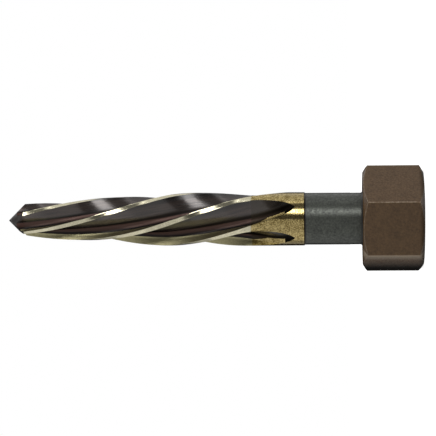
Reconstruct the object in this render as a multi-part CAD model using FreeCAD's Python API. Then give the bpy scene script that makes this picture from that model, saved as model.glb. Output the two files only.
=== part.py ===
import FreeCAD, Part
import math
import os

# Taper reamer, the kind that opens and lines up bolt holes in steelwork. It is one piece of
# steel: a fluted body that tapers to a short cone, a plain neck and a hexagon head that an
# impact socket drives. Millimetres. The tool stands on the end face of its head, the origin is
# the centre of that face, and +Z runs up the axis to the point.

# Head
head_across_flats = 36.51      # 1 7/16 in, the socket's size
head_height = 23.4
head_chamfer_diameter = 35.8   # circle where the turned chamfer meets each end face
head_chamfer_angle = 30.0      # degrees from the end face
head_edge_radius = 0.5         # the six long edges, broken by tumbling

# Centre hole in the head's end face, on which the tool was turned and ground
centre_mouth_diameter = 5.3
centre_pilot_diameter = 2.5
centre_hole_depth = 5.5
centre_cone_angle = 60.0

# Neck
neck_diameter = 20.1
neck_length = 22.3
neck_corner = 0.6              # small cone where the neck meets the head

# Body: a parallel part of the finished hole's size, a taper, and a cone at the front
body_diameter = 20.75          # 13/16 in and a little over
body_length = 51.8
shoulder_chamfer = 0.3
taper_length = 57.7
point_diameter = 13.1          # at the small end of the taper
point_angle = 90.0             # included angle of the cone

# Flutes: left-hand helix, and the edges cut when the tool turns clockwise as seen from the head
flute_count = 5
helix_lead = 184.15            # 7 1/4 in for one turn
first_edge_angle = 39.7        # degrees about Z of one cutting edge, carried back to Z = 0
hook_angle = 9.0               # the rake face leans under the cutting edge
root_radius = 2.2
back_radius = 32.0             # the flute's back is slightly convex
core_diameter = 10.9           # circle that the flute roots touch, along the parallel part
core_point_diameter = 7.1      # and at the small end of the taper
land_width = 1.7               # along the parallel part
land_point_width = 1.35        # and at the small end of the taper

# Run-out of the flutes towards the neck: the cutter lifts along an arc, then at a slope
run_out_start = 29.15          # from the shoulder
run_out_radius = 49.0
run_out_slope = 15.0           # degrees
run_out_lean = 2.5             # degrees that the lift leans back from the cutting edge's radius

# Relief behind the cutting edges
relief_angle = 11.0
margin_width = 0.6             # land left cylindrical on the parallel part
margin_point_width = 0.15      # and at the small end of the taper
relief_end = 20.95             # from the shoulder: behind it the lands stay full

# How the cutters reach past the steel, and how closely their sections follow each other
cutter_overrun = 4.0
relief_overrun = 1.3
section_step = 6.0
root_arcs = 5                  # the root is drawn as this many equal arcs, for narrow, smooth faces

body_radius = body_diameter / 2
point_radius = point_diameter / 2
neck_radius = neck_diameter / 2
shoulder_z = head_height + neck_length
taper_start_z = shoulder_z + body_length
taper_end_z = taper_start_z + taper_length
cone_length = point_radius / math.tan(math.radians(point_angle / 2))
tip_z = taper_end_z + cone_length
axis = FreeCAD.Vector(0, 0, 1)
origin = FreeCAD.Vector(0, 0, 0)


def along_taper(z, body_value, point_value):
    # A size that is steady along the parallel part and changes evenly along the taper.
    share = max(0.0, (z - taper_start_z) / taper_length)
    return body_value + (point_value - body_value) * share


def flat(x, y):
    return FreeCAD.Vector(x, y, 0)


def turned(points):
    # Solid of revolution about Z from a closed outline of (radius, height) points.
    outline = [FreeCAD.Vector(radius, 0, height) for radius, height in points]
    face = Part.Face(Part.makePolygon(outline + outline[:1]))
    return face.revolve(origin, axis, 360)


def make_head():
    # Hexagon with two flats facing +Y and -Y, its long edges broken and both ends chamfered.
    corner_radius = head_across_flats / math.sqrt(3)
    corners = [
        flat(corner_radius * math.cos(math.radians(60 * i)), corner_radius * math.sin(math.radians(60 * i)))
        for i in range(6)
    ]
    hexagon = Part.Face(Part.makePolygon(corners + corners[:1])).extrude(axis * head_height)
    long_edges = [e for e in hexagon.Edges if abs(e.tangentAt(e.FirstParameter).z) > 0.99]
    hexagon = hexagon.makeFillet(head_edge_radius, long_edges)
    chamfer_radius = head_chamfer_diameter / 2
    rise = (corner_radius - chamfer_radius) * math.tan(math.radians(head_chamfer_angle))
    envelope = turned([
        (0, 0),
        (chamfer_radius, 0),
        (corner_radius, rise),
        (corner_radius, head_height - rise),
        (chamfer_radius, head_height),
        (0, head_height),
    ])
    return hexagon.common(envelope)


def make_blank():
    # Everything that is turned on the head: neck, parallel body, taper and cone.
    shank = turned([
        (0, head_height / 2),
        (neck_radius + neck_corner, head_height / 2),
        (neck_radius + neck_corner, head_height),
        (neck_radius, head_height + neck_corner),
        (neck_radius, shoulder_z),
        (body_radius - shoulder_chamfer, shoulder_z),
        (body_radius, shoulder_z + shoulder_chamfer),
        (body_radius, taper_start_z),
        (point_radius, taper_end_z),
        (0, tip_z),
    ])
    return make_head().fuse(shank).removeSplitter()


def make_centre_hole():
    mouth = centre_mouth_diameter / 2
    pilot = centre_pilot_diameter / 2
    cone_depth = (mouth - pilot) / math.tan(math.radians(centre_cone_angle / 2))
    bottom = centre_hole_depth + pilot
    return turned([(0, 0), (mouth, 0), (pilot, cone_depth), (pilot, centre_hole_depth), (0, bottom)])


def edge_turn(z):
    # Angle about Z of the first cutting edge at height z.
    return first_edge_angle - 360 * z / helix_lead


def cutter_lift(z):
    # How far the flute cutter has risen out of the steel at height z of the run-out.
    slope = math.radians(run_out_slope)
    arc_length = run_out_radius * math.sin(slope)
    run = shoulder_z + run_out_start - z
    if run <= 0:
        return 0.0
    if run < arc_length:
        return run_out_radius - math.sqrt(run_out_radius ** 2 - run ** 2)
    return run_out_radius * (1 - math.cos(slope)) + (run - arc_length) * math.tan(slope)


def equal_arcs(start, end, centre):
    # The short way round from start to end about a centre.
    turn = math.degrees((start - centre).getAngle(end - centre))
    if (start - centre).cross(end - centre).z < 0:
        turn = -turn
    points = []
    for i in range(2 * root_arcs + 1):
        spin = FreeCAD.Rotation(axis, turn * i / (2 * root_arcs))
        points.append(centre + spin.multVec(start - centre))
    return [Part.Arc(*points[i:i + 3]).toShape() for i in range(0, 2 * root_arcs, 2)]


def flute_section(z):
    # Section of the flute cutter at height z, drawn with the cutting edge on +X and turned to
    # its place. Going round: rake face, root arc, convex back to the next land, outer closing.
    edge_radius = along_taper(z, body_radius, point_radius)
    core_radius = along_taper(z, core_diameter, core_point_diameter) / 2
    land = math.degrees(along_taper(z, land_width, land_point_width) / edge_radius)
    hook = math.radians(hook_angle)
    outwards = flat(math.cos(hook), math.sin(hook))
    forwards = flat(-math.sin(hook), math.cos(hook))
    edge = flat(edge_radius, 0)

    beside_rake = edge + forwards * root_radius
    reach = beside_rake.dot(outwards)
    root_distance = core_radius + root_radius
    travel = math.sqrt(reach ** 2 - beside_rake.dot(beside_rake) + root_distance ** 2) - reach
    root_centre = beside_rake + outwards * travel

    heel_angle = math.radians(360 / flute_count - land)
    heel = flat(edge_radius * math.cos(heel_angle), edge_radius * math.sin(heel_angle))
    to_heel = heel - root_centre
    span = to_heel.Length
    foot = ((back_radius + root_radius) ** 2 - back_radius ** 2 + span ** 2) / (2 * span)
    height = math.sqrt((back_radius + root_radius) ** 2 - foot ** 2)
    unit = to_heel / span
    back_centre = root_centre + unit * foot + flat(-unit.y, unit.x) * height

    rake_foot = root_centre - forwards * root_radius
    to_back = (back_centre - root_centre).normalize()
    root_foot = root_centre + to_back * root_radius
    spin = FreeCAD.Rotation(axis, math.degrees(cutter_overrun / back_radius))
    back_end = back_centre + spin.multVec(heel - back_centre)
    rake_end = edge + outwards * cutter_overrun
    far_radius = (edge_radius + cutter_overrun) / math.cos(heel_angle / 2)
    far_corner = flat(far_radius * math.cos(heel_angle / 2), far_radius * math.sin(heel_angle / 2))

    section = Part.Wire([
        Part.makeLine(rake_end, rake_foot),
        *equal_arcs(rake_foot, root_foot, root_centre),
        Part.Arc(root_foot, heel, back_end).toShape(),
        Part.makeLine(back_end, far_corner),
        Part.makeLine(far_corner, rake_end),
    ])
    lean = math.radians(run_out_lean)
    section.translate(flat(math.cos(lean), -math.sin(lean)) * cutter_lift(z))
    return at_height(section, z)


def relief_section(z):
    # Section of the relief cutter at height z: a thin wedge that lies over one land.
    edge_radius = along_taper(z, body_radius, point_radius)
    margin = along_taper(z, margin_width, margin_point_width)
    width = along_taper(z, land_width, land_point_width)
    start_angle = -margin / edge_radius
    radial = flat(math.cos(start_angle), math.sin(start_angle))
    backwards = flat(math.sin(start_angle), -math.cos(start_angle))
    relief = math.radians(relief_angle)
    downhill = backwards * math.cos(relief) - radial * math.sin(relief)
    start = radial * edge_radius
    front = start - downhill * (relief_overrun / 2)
    rear = start + downhill * (width - margin + relief_overrun)
    section = Part.makePolygon([front, rear, rear + radial * (2 * relief_overrun), front])
    return at_height(section, z)


def at_height(section, z):
    section.rotate(origin, axis, edge_turn(z))
    section.translate(axis * z)
    return section


def heights(low, high):
    count = max(2, math.ceil((high - low) / section_step))
    return [low + (high - low) * i / count for i in range(count + 1)]


def make_flute_cutter():
    # From where the lifted cutter has left the steel to beyond the point.
    depth = body_radius - core_diameter / 2
    slope = math.radians(run_out_slope)
    arc_lift = run_out_radius * (1 - math.cos(slope))
    slope_length = (depth + 1 - arc_lift) / math.tan(slope)
    low = shoulder_z + run_out_start - run_out_radius * math.sin(slope) - slope_length
    return Part.makeLoft([flute_section(z) for z in heights(low, tip_z + 1)], True)


def make_relief_cutter():
    low = shoulder_z + relief_end
    return Part.makeLoft([relief_section(z) for z in heights(low, tip_z)], True)


def patterned(cutter):
    # One copy of a cutter for each flute.
    copies = []
    for i in range(flute_count):
        copy = cutter.copy()
        copy.rotate(origin, axis, i * 360 / flute_count)
        copies.append(copy)
    return copies


def make_reamer():
    cutters = patterned(make_flute_cutter()) + patterned(make_relief_cutter())
    reamer = make_blank().cut(make_centre_hole())
    for cutter in cutters:
        reamer = reamer.cut(cutter)
    return reamer.Solids[0]


os.makedirs("parts", exist_ok=True)
reamer = make_reamer()
reamer.exportStep("parts/taper_reamer.step")
print("taper_reamer valid", reamer.isValid(), "volume mm3", round(reamer.Volume), "height", round(tip_z, 2))
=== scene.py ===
import math
import bmesh
import bpy
from mathutils import Matrix, Vector

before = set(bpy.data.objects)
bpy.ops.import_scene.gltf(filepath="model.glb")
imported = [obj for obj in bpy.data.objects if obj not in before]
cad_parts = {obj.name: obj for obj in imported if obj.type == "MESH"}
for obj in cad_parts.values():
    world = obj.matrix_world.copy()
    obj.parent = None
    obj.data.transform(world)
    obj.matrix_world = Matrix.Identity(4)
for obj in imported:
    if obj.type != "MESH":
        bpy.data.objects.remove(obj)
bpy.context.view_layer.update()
print("frame loaded")

# The tool's main heights and radii, in metres, as its solid has them
tool = {
    "headTop": 0.0234,
    "shoulder": 0.0457,
    "bandEnd": 0.0664,         # the bronze colour stops here and the bright lands begin
    "taperStart": 0.0975,
    "taperEnd": 0.1552,
    "bodyRadius": 0.010375,
    "pointRadius": 0.00655,
    "helixLead": 0.18415,
    "firstEdge": 39.7,         # degrees about Z of one cutting edge, carried back to Z = 0
    "flutes": 5,
    "hook": 9.0,
    "overlap": 9.0,            # degrees that a flute may begin behind its cutting edge, in the run-out
}


# Small helpers for shader nodes

def addNode(tree, kind, **values):
    node = tree.nodes.new(kind)
    for name, value in values.items():
        setattr(node, name, value)
    return node


def feed(tree, value, socket):
    # a value goes on the socket, anything else is linked to it
    if isinstance(value, bpy.types.NodeSocket):
        tree.links.new(value, socket)
    else:
        socket.default_value = value


def mathNode(tree, operation, first, second=0.5, third=None, clamp=False):
    node = addNode(tree, "ShaderNodeMath", operation=operation, use_clamp=clamp)
    feed(tree, first, node.inputs[0])
    feed(tree, second, node.inputs[1])
    if third is not None:
        feed(tree, third, node.inputs[2])
    return node.outputs[0]


def ramp(tree, value, low, high, toLow=0.0, toHigh=1.0):
    node = addNode(tree, "ShaderNodeMapRange", interpolation_type="SMOOTHSTEP")
    feed(tree, value, node.inputs["Value"])
    feed(tree, low, node.inputs["From Min"])
    feed(tree, high, node.inputs["From Max"])
    feed(tree, toLow, node.inputs["To Min"])
    feed(tree, toHigh, node.inputs["To Max"])
    return node.outputs["Result"]


def mixColour(tree, factor, first, second, blend="MIX"):
    node = addNode(tree, "ShaderNodeMix", data_type="RGBA", blend_type=blend)
    feed(tree, factor, node.inputs[0])
    feed(tree, first, node.inputs[6])
    feed(tree, second, node.inputs[7])
    return node.outputs[2]


def mixFactor(tree, factor, first, second):
    node = addNode(tree, "ShaderNodeMix", data_type="FLOAT")
    feed(tree, factor, node.inputs[0])
    feed(tree, first, node.inputs[2])
    feed(tree, second, node.inputs[3])
    return node.outputs[0]


def mixNormal(tree, factor, first, second):
    node = addNode(tree, "ShaderNodeMix", data_type="VECTOR")
    feed(tree, factor, node.inputs[0])
    feed(tree, first, node.inputs[4])
    feed(tree, second, node.inputs[5])
    return node.outputs[1]


def noise(tree, vector, scale, detail=3.0, roughness=0.55):
    node = addNode(tree, "ShaderNodeTexNoise", noise_dimensions="3D")
    feed(tree, vector, node.inputs["Vector"])
    feed(tree, scale, node.inputs["Scale"])
    node.inputs["Detail"].default_value = detail
    node.inputs["Roughness"].default_value = roughness
    return node.outputs["Fac"]


def objectPlace(tree):
    return addNode(tree, "ShaderNodeTexCoord").outputs["Object"]


def splitPlace(tree):
    split = addNode(tree, "ShaderNodeSeparateXYZ")
    tree.links.new(objectPlace(tree), split.inputs[0])
    return split.outputs


def objectHeight(tree):
    return splitPlace(tree)["Z"]


def objectDirection(tree):
    # degrees about Z
    place = splitPlace(tree)
    return mathNode(tree, "DEGREES", mathNode(tree, "ARCTAN2", place["Y"], place["X"]))


def turnAboutZ(tree, vector, angle):
    spin = addNode(tree, "ShaderNodeVectorRotate", rotation_type="Z_AXIS")
    tree.links.new(vector, spin.inputs["Vector"])
    feed(tree, angle, spin.inputs["Angle"])
    return spin.outputs[0]


def roundedNormal(tree, width):
    # normals that turn softly over the edges
    edges = addNode(tree, "ShaderNodeBevel", samples=8)
    feed(tree, width, edges.inputs["Radius"])
    return edges.outputs[0]


def rgb(*levels):
    # a colour given as it looks on a screen, 0 to 255
    linear = [((c / 255 + 0.055) / 1.055) ** 2.4 if c > 10 else c / 3294.6 for c in levels]
    return (*linear, 1.0)


def newGroup(name, inputs, outputs):
    group = bpy.data.node_groups.new(name, "ShaderNodeTree")
    for label, value in inputs.items():
        socket = group.interface.new_socket(label, in_out="INPUT", socket_type="NodeSocketFloat")
        socket.default_value = value
    for label in outputs:
        group.interface.new_socket(label, in_out="OUTPUT", socket_type="NodeSocketFloat")
    return group, group.nodes.new("NodeGroupInput"), group.nodes.new("NodeGroupOutput")


def useGroup(tree, group, **values):
    node = addNode(tree, "ShaderNodeGroup", node_tree=group)
    for name, value in values.items():
        feed(tree, value, node.inputs[name])
    return node


# Effects that several finishes share

def addFlutePlace(tree):
    # where a point lies in its own flute: metres forward of the rake plane, the same as a share
    # of the radius there, metres down the rake, and the angle about Z from the cutting edge
    place = splitPlace(tree)
    around = mathNode(tree, "ARCTAN2", place["Y"], place["X"])
    twist = mathNode(tree, "MULTIPLY", place["Z"], 2 * math.pi / tool["helixLead"])
    untwisted = mathNode(tree, "ADD", around, twist)
    early = math.radians(tool["overlap"])
    fromEdge = mathNode(tree, "ADD", untwisted, early - math.radians(tool["firstEdge"]))
    pitch = 2 * math.pi / tool["flutes"]
    turn = mathNode(tree, "SUBTRACT", mathNode(tree, "FLOORED_MODULO", fromEdge, pitch), early)

    level = addNode(tree, "ShaderNodeCombineXYZ")
    tree.links.new(place["X"], level.inputs["X"])
    tree.links.new(place["Y"], level.inputs["Y"])
    radius = addNode(tree, "ShaderNodeVectorMath", operation="LENGTH")
    tree.links.new(level.outputs[0], radius.inputs[0])
    inX = mathNode(tree, "MULTIPLY", radius.outputs["Value"], mathNode(tree, "COSINE", turn))
    inY = mathNode(tree, "MULTIPLY", radius.outputs["Value"], mathNode(tree, "SINE", turn))

    taper = addNode(tree, "ShaderNodeMapRange")
    feed(tree, place["Z"], taper.inputs["Value"])
    feed(tree, tool["taperStart"], taper.inputs["From Min"])
    feed(tree, tool["taperEnd"], taper.inputs["From Max"])
    feed(tree, tool["bodyRadius"], taper.inputs["To Min"])
    feed(tree, tool["pointRadius"], taper.inputs["To Max"])
    inwards = mathNode(tree, "SUBTRACT", taper.outputs["Result"], inX)
    hook = math.radians(tool["hook"])
    ahead = mathNode(tree, "MULTIPLY", inwards, math.sin(hook))
    fromRake = mathNode(tree, "MULTIPLY_ADD", inY, math.cos(hook), ahead)
    along = mathNode(tree, "MULTIPLY", inY, -math.sin(hook))
    downRake = mathNode(tree, "MULTIPLY_ADD", inwards, math.cos(hook), along)
    share = mathNode(tree, "DIVIDE", fromRake, taper.outputs["Result"])
    return {"FromRake": fromRake, "Share": share, "DownRake": downRake, "FromEdge": turn}


def makeFlutePlace():
    labels = ("FromRake", "Share", "DownRake", "FromEdge")
    group, _, end = newGroup("flutePlace", {}, labels)
    place = addFlutePlace(group)
    for label in labels:
        group.links.new(place[label], end.inputs[label])
    return group


speckleMix = {
    "fine": (4.0, 0.65),       # detail and roughness of the fine mottling
    "wideDetail": 3.0,
    "wideScale": 0.17,         # of the fine mottling's scale
    "shares": (0.75, 0.25),    # of the fine and of the wide mottling
}


def makeSpeckle():
    # fine mottling of a darkened or tinted surface, at two scales
    group, start, end = newGroup("speckle", {"Scale": 1500.0, "Contrast": 1.0}, ["Speckle"])
    place = objectPlace(group)
    fine = noise(group, place, start.outputs["Scale"], *speckleMix["fine"])
    wideScale = mathNode(group, "MULTIPLY", start.outputs["Scale"], speckleMix["wideScale"])
    wide = noise(group, place, wideScale, speckleMix["wideDetail"])
    fineShare, wideShare = speckleMix["shares"]
    both = mathNode(group, "MULTIPLY_ADD", wide, wideShare, mathNode(group, "MULTIPLY", fine, fineShare))
    centred = mathNode(group, "SUBTRACT", both, 0.5)
    spread = mathNode(group, "MULTIPLY", centred, start.outputs["Contrast"])
    group.links.new(mathNode(group, "ADD", spread, 0.5, clamp=True), end.inputs["Speckle"])
    return group


wearMix = {
    "agree": (0.995, 0.93),    # how well rounded and true normals agree: from none to full scuffing and painted highlight
    "patchScale": 700.0,
    "patchDetail": 4.0,
    "patchFull": 0.75,
    "least": 0.4,              # of the scuffing and painted highlight, left between the patches
}


def makeEdgeWear():
    # scuffed edges and painted highlight: bright where an edge is near, broken up by noise
    group, start, end = newGroup("edgeWear", {"Width": 0.0004, "Break": 0.5}, ["Wear"])
    compare = addNode(group, "ShaderNodeVectorMath", operation="DOT_PRODUCT")
    group.links.new(roundedNormal(group, start.outputs["Width"]), compare.inputs[0])
    group.links.new(addNode(group, "ShaderNodeNewGeometry").outputs["Normal"], compare.inputs[1])
    edge = ramp(group, compare.outputs["Value"], *wearMix["agree"])
    spots = noise(group, objectPlace(group), wearMix["patchScale"], wearMix["patchDetail"])
    patches = ramp(group, spots, start.outputs["Break"], wearMix["patchFull"])
    kept = mathNode(group, "MULTIPLY_ADD", patches, 1 - wearMix["least"], wearMix["least"])
    group.links.new(mathNode(group, "MULTIPLY", edge, kept, clamp=True), end.inputs["Wear"])
    return group


flutePlace = makeFlutePlace()
speckle = makeSpeckle()
edgeWear = makeEdgeWear()
print("shared effects made")


# What every finish is made with. In a finish's values, speckle is the mottling's scale and
# contrast, rim is how dark it looks edge on and where that begins and is full, and bump is its
# strength and depth.

def newMaterial(name):
    material = bpy.data.materials.new(name)
    material.use_nodes = True
    material.node_tree.nodes.clear()
    output = addNode(material.node_tree, "ShaderNodeOutputMaterial")
    return material, material.node_tree, output.inputs["Surface"]


def newFinish(name):
    material, tree, surface = newMaterial(name)
    shader = addNode(tree, "ShaderNodeBsdfPrincipled")
    tree.links.new(shader.outputs[0], surface)
    return material, tree, shader


def mottle(tree, values):
    scale, contrast = values["speckle"]
    return useGroup(tree, speckle, Scale=scale, Contrast=contrast).outputs["Speckle"]


def roughen(tree, shader, grain, values):
    # the mottling's pale spots are the smoother ones
    low, high = values["roughness"]
    tree.links.new(ramp(tree, grain, 0.2, 0.8, high, low), shader.inputs["Roughness"])


def darkenRim(tree, shader, colour, values, gloss=0.5):
    # painted shade: a surface seen edge on is given less of its colour and more of the dark room
    rim, begin, full = values["rim"]
    weight = addNode(tree, "ShaderNodeLayerWeight")
    turned = ramp(tree, weight.outputs["Facing"], begin, full)
    dark = mixColour(tree, 1.0, colour, (rim, rim, rim, 1.0), "MULTIPLY")
    tree.links.new(mixColour(tree, turned, colour, dark), shader.inputs["Base Color"])
    tree.links.new(ramp(tree, turned, 0.0, 1.0, 1.0, rim), shader.inputs["Specular Tint"])
    kept = mathNode(tree, "MULTIPLY", ramp(tree, turned, 0.0, 1.0, 1.0, 0.0), gloss)
    tree.links.new(kept, shader.inputs["Specular IOR Level"])


def addBump(tree, shader, normal, height, values):
    strength, depth = values["bump"]
    bump = addNode(tree, "ShaderNodeBump")
    bump.inputs["Strength"].default_value = strength
    bump.inputs["Distance"].default_value = depth
    tree.links.new(height, bump.inputs["Height"])
    tree.links.new(normal, bump.inputs["Normal"])
    tree.links.new(bump.outputs[0], shader.inputs["Normal"])


# The head, brown from its heat treatment

headFinish = {
    "brown": rgb(94, 70, 42),
    "darkBrown": rgb(68, 48, 25),
    # paler colour of the rounded long edges, for scuffing and painted highlight
    "edge": rgb(146, 128, 106),
    # pale colour of the scuffed edges with their painted highlight, and of the painted sheen on one flat
    "wearAndSheen": rgb(150, 134, 114),
    "speckle": (1400.0, 3.4),
    "roughness": (0.36, 0.5),
    "metallic": 0.1,
    "gloss": 0.35,
    "rim": (0.6, 0.6, 0.95),
    "edgeWidth": 0.0004,
    "bump": (0.3, 0.00005),
    "wearWidth": 0.0005,
    "wearBreak": 0.35,
    "lowChamfer": 0.0024,      # painted shade: the chamfer on the lower end, by the floor, is darker up to here
    "lowShade": 0.3,
    "paintedSheenSpan": (-138.0, -121.0),  # directions about Z in which one flat is painted paler, a painted sheen, and in which that stops at the flat's edge
    "paintedSheenStop": (-120.0, -118.5),  # and in which that stops at the flat's edge
    "paintedSheenShare": 0.8,
    "paintedShadeSpan": (-170.0, -132.0), # directions about Z in which the same flat's painted shade fades
    "paintedShadeLevel": 0.03,
    "dullEnd": (0.0003, 0.0001),   # metres under the head's top, from where it reflects little
    "dullShare": 0.1,
}


def headGloss(tree, height, dark):
    gloss = mathNode(tree, "MULTIPLY", dark, headFinish["gloss"])
    begin, full = headFinish["dullEnd"]
    dull = ramp(tree, height, tool["headTop"] - begin, tool["headTop"] - full, 1.0, headFinish["dullShare"])
    return mathNode(tree, "MULTIPLY", gloss, dull)


def makeHeadFinish(name, shades):
    material, tree, shader = newFinish(name)
    grain = mottle(tree, headFinish)
    wear = useGroup(tree, edgeWear, Width=headFinish["wearWidth"], Break=headFinish["wearBreak"])
    roughen(tree, shader, grain, headFinish)
    body = mixColour(tree, grain, *(headFinish[shade] for shade in shades))
    height = objectHeight(tree)
    around = objectDirection(tree)
    # painted sheen: one flat is made paler in some directions about Z
    paintedSheen = ramp(tree, around, *headFinish["paintedSheenSpan"], 0.0, headFinish["paintedSheenShare"])
    paintedSheen = mathNode(tree, "MULTIPLY", paintedSheen, ramp(tree, around, *headFinish["paintedSheenStop"], 1.0, 0.0))
    pale = mathNode(tree, "MAXIMUM", wear.outputs["Wear"], paintedSheen)
    colour = mixColour(tree, pale, body, headFinish["wearAndSheen"])
    # painted shade on the lower chamfer
    shade = ramp(tree, height, 0.0, headFinish["lowChamfer"], headFinish["lowShade"], 1.0)
    # painted shade on the same flat, darkest towards -170 degrees
    paintedShade = ramp(tree, around, *headFinish["paintedShadeSpan"], headFinish["paintedShadeLevel"], 1.0)
    dark = mathNode(tree, "MULTIPLY", shade, paintedShade)
    colour = mixColour(tree, 1.0, colour, dark, "MULTIPLY")
    darkenRim(tree, shader, colour, headFinish, headGloss(tree, height, dark))
    shader.inputs["Metallic"].default_value = headFinish["metallic"]
    addBump(tree, shader, roundedNormal(tree, headFinish["edgeWidth"]), grain, headFinish)
    return material


# The neck

neckFinish = {
    "grey": rgb(77, 80, 73),
    "darkGrey": rgb(48, 50, 46),
    "speckle": (1200.0, 4.0),
    "roughness": (0.33, 0.44),
    "metallic": 0.45,
    "rim": (0.2, 0.52, 0.9),
    "edgeWidth": 0.0002,
    "bump": (0.2, 0.00004),
    "seamShadeWidth": 0.0007,            # painted shade, nearly black, where the neck meets the head and the body, from this far above the head and to this far under the body
    "overHead": 0.0003,        # from this far above the head
    "underBody": 0.0002,       # and to this far under the body
    "seamShade": 0.1,
}


def makeNeckFinish():
    material, tree, shader = newFinish("greyNeck")
    grain = mottle(tree, neckFinish)
    colour = mixColour(tree, grain, neckFinish["darkGrey"], neckFinish["grey"])
    height = objectHeight(tree)
    low = tool["headTop"] + neckFinish["overHead"]
    high = tool["shoulder"] - neckFinish["underBody"]
    # painted shade at both ends of the neck
    fromHead = ramp(tree, height, low, low + neckFinish["seamShadeWidth"], neckFinish["seamShade"], 1.0)
    bodyShadeStart = tool["shoulder"] - neckFinish["seamShadeWidth"]
    fromBody = ramp(tree, height, bodyShadeStart, high, 1.0, neckFinish["seamShade"])
    seamShadows = mathNode(tree, "MULTIPLY", fromHead, fromBody)
    colour = mixColour(tree, 1.0, colour, seamShadows, "MULTIPLY")
    darkenRim(tree, shader, colour, neckFinish)
    roughen(tree, shader, grain, neckFinish)
    shader.inputs["Metallic"].default_value = neckFinish["metallic"]
    addBump(tree, shader, roundedNormal(tree, neckFinish["edgeWidth"]), grain, neckFinish)
    return material


# The ground lands, silver towards the point and bronze behind the colour line

landFinish = {
    "silver": rgb(204, 198, 172),
    "darkSilver": rgb(176, 170, 146),
    "gold": rgb(186, 168, 118),
    "darkGold": rgb(92, 76, 34),
    "colourLine": 0.0003,      # half the line's width
    "speckle": (2300.0, 5.5),
    "roughness": (0.11, 0.17),
    "metallic": 1.0,
    "rim": (0.25, 0.56, 0.8),
    "bump": (0.12, 0.00003),
    "relief": 10.4,            # degrees that the bright lands lean back, as the light shows it
    "margin": 0.00018,         # and the strip along the edge that doesn't
    "marginFade": 0.00005,
    "reliefFade": 0.0006,      # height over which the lean begins at the colour line
}


def groundColour(tree):
    grain = mottle(tree, landFinish)
    gold = mixColour(tree, grain, landFinish["darkGold"], landFinish["gold"])
    silver = mixColour(tree, grain, landFinish["darkSilver"], landFinish["silver"])
    half = landFinish["colourLine"]
    bright = ramp(tree, objectHeight(tree), tool["bandEnd"] - half, tool["bandEnd"] + half)
    return mixColour(tree, bright, gold, silver), grain


def landNormal(tree):
    # each bright land is shaded as one plane, leaning back from the radius at its cutting edge
    outwards = addNode(tree, "ShaderNodeVectorMath", operation="MULTIPLY")
    tree.links.new(objectPlace(tree), outwards.inputs[0])
    outwards.inputs[1].default_value = (1.0, 1.0, 0.0)
    radius = addNode(tree, "ShaderNodeVectorMath", operation="NORMALIZE")
    tree.links.new(outwards.outputs[0], radius.inputs[0])
    place = useGroup(tree, flutePlace).outputs
    lean = mathNode(tree, "SUBTRACT", -math.radians(landFinish["relief"]), place["FromEdge"])
    leaning = turnAboutZ(tree, radius.outputs[0], lean)
    margin = -landFinish["margin"]
    fade = landFinish["marginFade"]
    behind = ramp(tree, place["FromRake"], margin - fade, margin + fade, 1.0, 0.0)
    bright = ramp(tree, objectHeight(tree), tool["bandEnd"], tool["bandEnd"] + landFinish["reliefFade"])
    solid = addNode(tree, "ShaderNodeNewGeometry").outputs["Normal"]
    return mixNormal(tree, mathNode(tree, "MULTIPLY", behind, bright), solid, leaning)


def makeLandFinish():
    material, tree, shader = newFinish("groundLands")
    colour, grain = groundColour(tree)
    darkenRim(tree, shader, colour, landFinish)
    roughen(tree, shader, grain, landFinish)
    shader.inputs["Metallic"].default_value = landFinish["metallic"]
    addBump(tree, shader, landNormal(tree), grain, landFinish)
    return material


# The rake faces, ground like the lands but left dark where the flute runs out

rakeFinish = {
    "green": rgb(204, 202, 182),
    "black": rgb(24, 18, 16),
    "start": (0.0533, 0.0535), # heights between which the ground strip begins
    "lapWidth": (0.0009, 0.0011),  # metres forward of the rake to which the strip goes on over the root,
    "lapDepth": (0.0025, 0.0026),  # metres down the rake to which it does,
    "lapEnd": (0.0775, 0.0785),    # and heights at which that stops
    "roughness": 0.45,
    "metallic": 1.0,
    "rim": (0.35, 0.6, 0.85),
    "edgeWidth": 0.00008,
    "bump": (0.12, 0.00003),
}


def rakeLap(tree, place, height):
    # where the ground strip goes on over the root, because the flute grows shallow
    near = ramp(tree, place["FromRake"], *rakeFinish["lapWidth"], 1.0, 0.0)
    shallow = ramp(tree, place["DownRake"], *rakeFinish["lapDepth"], 1.0, 0.0)
    lap = mathNode(tree, "MULTIPLY", near, shallow)
    lap = mathNode(tree, "MULTIPLY", lap, ramp(tree, height, *rakeFinish["start"]))
    return mathNode(tree, "MULTIPLY", lap, ramp(tree, height, *rakeFinish["lapEnd"], 1.0, 0.0))


def makeRakeFinish():
    material, tree, shader = newFinish("rakeFaces")
    colour, grain = groundColour(tree)
    colour = mixColour(tree, 1.0, colour, rakeFinish["green"], "MULTIPLY")
    ground = ramp(tree, objectHeight(tree), *rakeFinish["start"])
    darkenRim(tree, shader, mixColour(tree, ground, rakeFinish["black"], colour), rakeFinish)
    shader.inputs["Roughness"].default_value = rakeFinish["roughness"]
    shader.inputs["Metallic"].default_value = rakeFinish["metallic"]
    addBump(tree, shader, roundedNormal(tree, rakeFinish["edgeWidth"]), grain, rakeFinish)
    return material


# The flutes. Bands are in metres forward of the rake, and shares are of the radius there.

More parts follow.
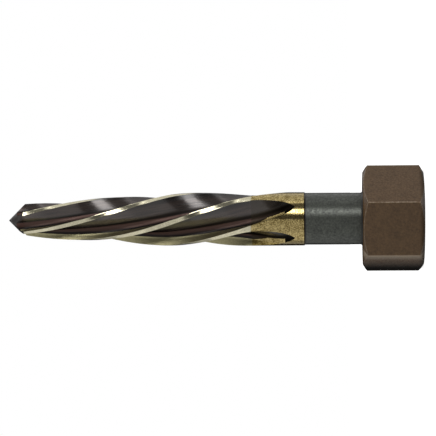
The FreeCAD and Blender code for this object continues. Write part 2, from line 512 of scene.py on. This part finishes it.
fluteFinish = {
    "black": rgb(24, 18, 16),
    "root": rgb(64, 46, 40),
    "rootLight": rgb(80, 60, 54),
    "grey": rgb(68, 57, 52),
    "darkGrey": rgb(46, 38, 35),
    "heel": rgb(26, 21, 19),
    "sooty": rgb(42, 34, 20),
    "streaks": (1300.0, 0.03), # fineness across the flute, and how little of it there is along it
    "streakEnds": (0.3, 0.7),
    "wander": 0.0005,          # metres that the bands wander from side to side
    "rootBand": (0.0005, 0.0009),  # where black turns to the root's brown,
    "paleBand": (0.0009, 0.0017),  # that to the paler brown,
    "lineBand": (0.0021, 0.0025),  # that to a black line,
    "backBand": (0.0029, 0.0036),  # that to the grey back,
    "heelBand": (0.0062, 0.0095),  # and that to the dark heel
    "backShare": (0.28, 0.46), # where the back grows paler
    "lowBlack": 0.75,          # how black it is before, as painted shade near the root
    "glossShare": (0.3, 0.44), # where the back grows glossy
    "rootGloss": 0.15,
    "gloss": 0.85,
    "rootRoughness": 0.42,
    "roughness": (0.15, 0.23),
    "metallic": 0.3,
    "rim": (0.15, 0.55, 0.85),
    "lean": -3.8,              # degrees, because the backs are a little flatter than an arc
    "edgeWidth": 0.00008,
    "bump": (0.08, 0.00004),
    "tintFade": 0.0004,        # half the height over which the sooty tint stops at the colour line
    "tintShare": 0.75,
    "runOutDark": (0.0535, 0.061),   # the run-outs are nearly black below these heights,
    "runOutDarkLevel": 0.18,
    "rootRunOutDark": (0.058, 0.068),    # and their roots below these
    "rootRunOutDarkLevel": 0.4,
    "pointFade": 0.001,        # half the height over which the gloss drops at the cone
    "pointShare": 0.2,
}


def addStreaks(tree):
    # streaks that run along the helix: the tool is untwisted before the noise is read
    fineness, stretch = fluteFinish["streaks"]
    turn = mathNode(tree, "MULTIPLY", objectHeight(tree), 2 * math.pi / tool["helixLead"])
    scaled = addNode(tree, "ShaderNodeVectorMath", operation="MULTIPLY")
    tree.links.new(turnAboutZ(tree, objectPlace(tree), turn), scaled.inputs[0])
    scaled.inputs[1].default_value = (1.0, 1.0, stretch)
    return noise(tree, scaled.outputs[0], fineness)


def acrossFlute(tree, place, streaks):
    # metres forward of the rake, wandering with the streaks
    wander = fluteFinish["wander"]
    drift = mathNode(tree, "MULTIPLY_ADD", streaks, wander, -wander / 2)
    return mathNode(tree, "ADD", place["FromRake"], drift)


def fluteBands(tree, place, streaks):
    # black at the rake's foot (dark oxide with painted shade in the crease), brown root with a paler upper
    # side, black line, grey back with painted shade near the root
    across = acrossFlute(tree, place, streaks)
    streaked = ramp(tree, streaks, *fluteFinish["streakEnds"])
    back = mixColour(tree, streaked, fluteFinish["darkGrey"], fluteFinish["grey"])
    lower = mixColour(tree, fluteFinish["lowBlack"], back, fluteFinish["black"])
    back = mixColour(tree, ramp(tree, place["Share"], *fluteFinish["backShare"]), lower, back)
    back = mixColour(tree, ramp(tree, across, *fluteFinish["heelBand"]), back, fluteFinish["heel"])
    colour = fluteFinish["black"]
    for band, shade in (("rootBand", "root"), ("paleBand", "rootLight"), ("lineBand", "black")):
        colour = mixColour(tree, ramp(tree, across, *fluteFinish[band]), colour, fluteFinish[shade])
    return mixColour(tree, ramp(tree, across, *fluteFinish["backBand"]), colour, back)


# the run-outs darken towards the shoulder, their roots from higher up
def fluteRunOutDark(tree, place, streaks, height):
    atBack = ramp(tree, acrossFlute(tree, place, streaks), *fluteFinish["backBand"])
    runOutDark = ramp(tree, height, *fluteFinish["runOutDark"], fluteFinish["runOutDarkLevel"], 1.0)
    rootRunOutDark = ramp(tree, height, *fluteFinish["rootRunOutDark"], fluteFinish["rootRunOutDarkLevel"], 1.0)
    return mathNode(tree, "MULTIPLY", runOutDark, mixFactor(tree, atBack, rootRunOutDark, 1.0))


def fluteRoughness(tree, place, streaks):
    low, high = fluteFinish["roughness"]
    clear = ramp(tree, place["Share"], *fluteFinish["glossShare"])
    streaked = ramp(tree, streaks, *fluteFinish["streakEnds"], high, low)
    return mixFactor(tree, clear, fluteFinish["rootRoughness"], streaked)


def fluteGloss(tree, streaks, height):
    # the specular level takes nothing from a group, so the place is worked out in the material
    place = addFlutePlace(tree)
    clear = ramp(tree, place["Share"], *fluteFinish["glossShare"])
    gloss = mixFactor(tree, clear, fluteFinish["rootGloss"], fluteFinish["gloss"])
    gloss = mathNode(tree, "MULTIPLY", gloss, fluteRunOutDark(tree, place, streaks, height))
    begin = tool["taperEnd"] - fluteFinish["pointFade"]
    full = tool["taperEnd"] + fluteFinish["pointFade"]
    atPoint = ramp(tree, height, begin, full, 1.0, fluteFinish["pointShare"])
    return mathNode(tree, "MULTIPLY", gloss, atPoint)


def makeFluteFinish():
    material, tree, shader = newFinish("darkFlutes")
    place = useGroup(tree, flutePlace).outputs
    streaks = addStreaks(tree)
    height = objectHeight(tree)
    colour = fluteBands(tree, place, streaks)
    begin = tool["bandEnd"] - fluteFinish["tintFade"]
    full = tool["bandEnd"] + fluteFinish["tintFade"]
    tinted = ramp(tree, height, begin, full, fluteFinish["tintShare"], 0.0)
    colour = mixColour(tree, tinted, colour, fluteFinish["sooty"])
    colour = mixColour(tree, 1.0, colour, fluteRunOutDark(tree, place, streaks, height), "MULTIPLY")
    lap = rakeLap(tree, place, height)
    colour = mixColour(tree, lap, colour, groundColour(tree)[0])
    darkenRim(tree, shader, colour, fluteFinish, fluteGloss(tree, streaks, height))
    tree.links.new(fluteRoughness(tree, place, streaks), shader.inputs["Roughness"])
    tree.links.new(mixFactor(tree, lap, fluteFinish["metallic"], 1.0), shader.inputs["Metallic"])
    rounded = roundedNormal(tree, fluteFinish["edgeWidth"])
    leaning = turnAboutZ(tree, rounded, math.radians(fluteFinish["lean"]))
    addBump(tree, shader, leaning, streaks, fluteFinish)
    return material


# The cone at the point

pointFinish = {
    "grey": rgb(54, 50, 47),
    "darkGrey": rgb(30, 26, 24),
    "speckle": (1500.0, 1.5),
    "roughness": 0.3,
    "metallic": 0.9,
    "rim": (0.3, 0.5, 0.93),
    "edgeWidth": 0.0001,
    "bump": (0.15, 0.00004),
}


def makePointFinish():
    material, tree, shader = newFinish("darkPoint")
    grain = mottle(tree, pointFinish)
    colour = mixColour(tree, grain, pointFinish["darkGrey"], pointFinish["grey"])
    darkenRim(tree, shader, colour, pointFinish)
    shader.inputs["Roughness"].default_value = pointFinish["roughness"]
    shader.inputs["Metallic"].default_value = pointFinish["metallic"]
    addBump(tree, shader, roundedNormal(tree, pointFinish["edgeWidth"]), grain, pointFinish)
    return material


finishes = {
    "head": makeHeadFinish("brownHead", ("darkBrown", "brown")),
    # the rounded long edges are painted paler: scuffing and painted highlight
    "headEdge": makeHeadFinish("headEdges", ("brown", "edge")),
    "neck": makeNeckFinish(),
    "land": makeLandFinish(),
    "rake": makeRakeFinish(),
    "flute": makeFluteFinish(),
    "point": makePointFinish(),
}
print("finishes made")


# Which finish each face of the tool has. The solid's faces are separate islands of triangles.

faceSigns = {
    "slack": 0.00001,          # metres that a face's middle may lie past the neck's end
    "headSlack": 0.0001,
    "edgeArea": 0.00003,       # square metres: the head's rounded long edges are smaller
    "upright": 0.1,            # the most that such an edge's normal rises
    "coneRise": 0.5,           # the cone's normals rise more than this
    "landOutwards": 0.9,       # the lands' normals point outwards more than this
    "landReach": 0.93,         # and lie further out than this share of the radius
    "rakeForwards": 0.85,      # the rake faces' normals point forwards more than this
    "rakeOutwards": 0.3,       # and outwards less than this
}


def islandsOf(mesh):
    home = list(range(len(mesh.vertices)))

    def rootOf(i):
        while home[i] != i:
            home[i] = home[home[i]]
            i = home[i]
        return i

    for polygon in mesh.polygons:
        first = rootOf(polygon.vertices[0])
        for i in polygon.vertices[1:]:
            home[rootOf(i)] = first
    islands = {}
    for polygon in mesh.polygons:
        islands.setdefault(rootOf(polygon.vertices[0]), []).append(polygon)
    return list(islands.values())


def outerRadius(z):
    share = min(max((z - tool["taperStart"]) / (tool["taperEnd"] - tool["taperStart"]), 0.0), 1.0)
    return tool["bodyRadius"] + (tool["pointRadius"] - tool["bodyRadius"]) * share


def finishOf(island):
    area = sum(p.area for p in island)
    middle = sum(p.center.z * p.area for p in island) / area
    if middle < tool["headTop"] + faceSigns["headSlack"]:
        upright = abs(island[0].normal.z) < faceSigns["upright"]
        return "headEdge" if area < faceSigns["edgeArea"] and upright else "head"
    if middle < tool["shoulder"] + faceSigns["slack"]:
        return "neck"
    outwards = reach = forwards = rising = 0.0
    for polygon in island:
        share = polygon.area / area
        radial = Vector((polygon.center.x, polygon.center.y, 0)).normalized()
        outwards += polygon.normal.dot(radial) * share
        forwards += polygon.normal.dot(Vector((-radial.y, radial.x, 0))) * share
        rising += polygon.normal.z * share
        reach += polygon.center.xy.length / outerRadius(polygon.center.z) * share
    if rising > faceSigns["coneRise"]:
        return "point"
    if outwards > faceSigns["landOutwards"] and reach > faceSigns["landReach"]:
        return "land"
    if forwards > faceSigns["rakeForwards"] and outwards < faceSigns["rakeOutwards"]:
        return "rake"
    return "flute"


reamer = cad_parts["taper_reamer"]
slots = list(finishes)
reamer.data.materials.clear()
for name in slots:
    reamer.data.materials.append(finishes[name])
counts = dict.fromkeys(slots, 0)
for island in islandsOf(reamer.data):
    name = finishOf(island)
    counts[name] += 1
    for polygon in island:
        polygon.material_index = slots.index(name)
print("finishes placed", counts)


# Camera: level, beside the tool, turned on its side so that the point is at the left

cameraSet = {
    "azimuth": 13.2,
    "height": 0.035,
    "distance": 0.745,
    "aimHeight": 0.0796,
    "aimSide": 0.0005,
    "roll": 0.34,
    "focalLength": 158.1,
    "sensorWidth": 36.0,
    "clip": (0.01, 50.0),
}


def makeCamera():
    azimuth = math.radians(cameraSet["azimuth"])
    towards = Vector((math.sin(azimuth), -math.cos(azimuth), 0))
    side = Vector((math.cos(azimuth), math.sin(azimuth), 0))
    place = towards * cameraSet["distance"] + Vector((0, 0, cameraSet["height"]))
    aim = Vector((0, 0, cameraSet["aimHeight"])) + side * cameraSet["aimSide"]
    back = (place - aim).normalized()
    roll = math.radians(cameraSet["roll"])
    up = side * math.cos(roll) - Vector((0, 0, 1)) * math.sin(roll)
    right = up.cross(back).normalized()
    up = back.cross(right)
    turn = Matrix((right, up, back)).transposed().to_4x4()
    data = bpy.data.cameras.new("camera")
    data.lens = cameraSet["focalLength"]
    data.sensor_width = cameraSet["sensorWidth"]
    data.clip_start, data.clip_end = cameraSet["clip"]
    camera = bpy.data.objects.new("camera", data)
    camera.matrix_world = Matrix.Translation(place) @ turn
    bpy.context.scene.collection.objects.link(camera)
    bpy.context.scene.camera = camera


makeCamera()
print("camera placed")


# Studio: pale floor, white surround, one soft lamp, and cards that only the steel reflects

white = (1.0, 1.0, 1.0, 1.0)
studio = {
    "floorSize": 6.0,
    "floorColour": (0.86, 0.86, 0.85, 1.0),
    "floorWhite": 0.75,        # added to the floor as it is seen, so that it looks as white as the surround
    "softness": 0.55,          # world level that lights the tool
    "lampLevel": 1.6,
    "lampSpan": (40.0, 80.0),  # degrees from the camera's side, towards the top of the picture
    "lampHeight": 1.0,
    "lampMiddle": 0.6,         # height of the lamp's middle
    "distance": 0.9,           # of the lamp and the cards from the tool's axis
    "cardHeight": 2.0,
    "cardMiddle": 0.1,
    "cards": (                 # spans of directions and how bright they look in the steel
        (-185.0, -142.0, 0.1),
        (-141.0, -108.0, 0.5),
        (-62.0, -3.7, 0.8),
        (-3.5, 19.5, 0.1),
        (23.0, 40.5, 7.0),
        (45.0, 71.0, 0.2),
        (75.5, 79.0, 2.5),
    ),
}


def uprightPanel(span, middleHeight):
    # width and place of an upright panel that faces the tool and covers a span of directions
    middle = math.radians(sum(span) / 2 + cameraSet["azimuth"] - 90.0)
    width = 2 * studio["distance"] * math.tan(math.radians(span[1] - span[0]) / 2)
    place = Vector((math.cos(middle), math.sin(middle), 0)) * studio["distance"]
    place.z = middleHeight
    facing = Matrix.Rotation(middle + math.pi / 2, 4, "Z") @ Matrix.Rotation(math.pi / 2, 4, "X")
    return width, Matrix.Translation(place) @ facing


def makePane(name, width, height, material):
    shape = bmesh.new()
    bmesh.ops.create_grid(shape, x_segments=1, y_segments=1, size=0.5)
    bmesh.ops.scale(shape, vec=(width, height, 1.0), verts=shape.verts)
    mesh = bpy.data.meshes.new(name)
    shape.to_mesh(mesh)
    shape.free()
    mesh.materials.append(material)
    pane = bpy.data.objects.new(name, mesh)
    bpy.context.scene.collection.objects.link(pane)
    return pane


def addGlow(tree, level):
    glow = addNode(tree, "ShaderNodeEmission")
    glow.inputs["Color"].default_value = white
    feed(tree, level, glow.inputs["Strength"])
    return glow.outputs[0]


def seenDirectly(tree):
    # 1 for the camera's own rays and for those that steel reflects or glass lets through
    path = addNode(tree, "ShaderNodeLightPath")
    seen = mathNode(tree, "ADD", path.outputs["Is Camera Ray"], path.outputs["Is Glossy Ray"])
    return mathNode(tree, "ADD", seen, path.outputs["Is Transmission Ray"], clamp=True)


def makeLamp():
    # gives the soft plain light; the steel reflects the cards instead
    width, place = uprightPanel(studio["lampSpan"], studio["lampMiddle"])
    data = bpy.data.lights.new("lamp", "AREA")
    data.shape = "RECTANGLE"
    data.size = width
    data.size_y = studio["lampHeight"]
    data.energy = studio["lampLevel"] * width * studio["lampHeight"] * math.pi
    lamp = bpy.data.objects.new("lamp", data)
    lamp.matrix_world = place
    lamp.visible_glossy = False
    bpy.context.scene.collection.objects.link(lamp)


def makeCard(name, span, level):
    material, tree, surface = newMaterial(name)
    tree.links.new(addGlow(tree, level), surface)
    width, place = uprightPanel(span, studio["cardMiddle"])
    card = makePane(name, width, studio["cardHeight"], material)
    card.data.transform(place)
    card.visible_camera = False
    card.visible_diffuse = False
    card.visible_shadow = False


def makeFloor():
    material, tree, surface = newMaterial("paleFloor")
    matt = addNode(tree, "ShaderNodeBsdfDiffuse")
    matt.inputs["Color"].default_value = studio["floorColour"]
    level = mathNode(tree, "MULTIPLY", seenDirectly(tree), studio["floorWhite"])
    both = addNode(tree, "ShaderNodeAddShader")
    tree.links.new(matt.outputs[0], both.inputs[0])
    tree.links.new(addGlow(tree, level), both.inputs[1])
    tree.links.new(both.outputs[0], surface)
    floor = makePane("floor", studio["floorSize"], studio["floorSize"], material)
    floor.visible_glossy = False   # the steel sees the white surround and the cards there too


def makeWorld():
    world = bpy.data.worlds.new("studio")
    world.use_nodes = True
    bpy.context.scene.world = world
    tree = world.node_tree
    tree.nodes.clear()
    back = addNode(tree, "ShaderNodeBackground")
    back.inputs["Color"].default_value = white
    level = ramp(tree, seenDirectly(tree), 0.0, 1.0, studio["softness"], 1.0)
    tree.links.new(level, back.inputs["Strength"])
    output = addNode(tree, "ShaderNodeOutputWorld")
    tree.links.new(back.outputs[0], output.inputs["Surface"])


makeFloor()
makeWorld()
makeLamp()
for number, (first, last, level) in enumerate(studio["cards"]):
    makeCard(f"card{number}", (first, last), level)
bpy.context.scene.view_settings.view_transform = "Standard"
print("studio lit")
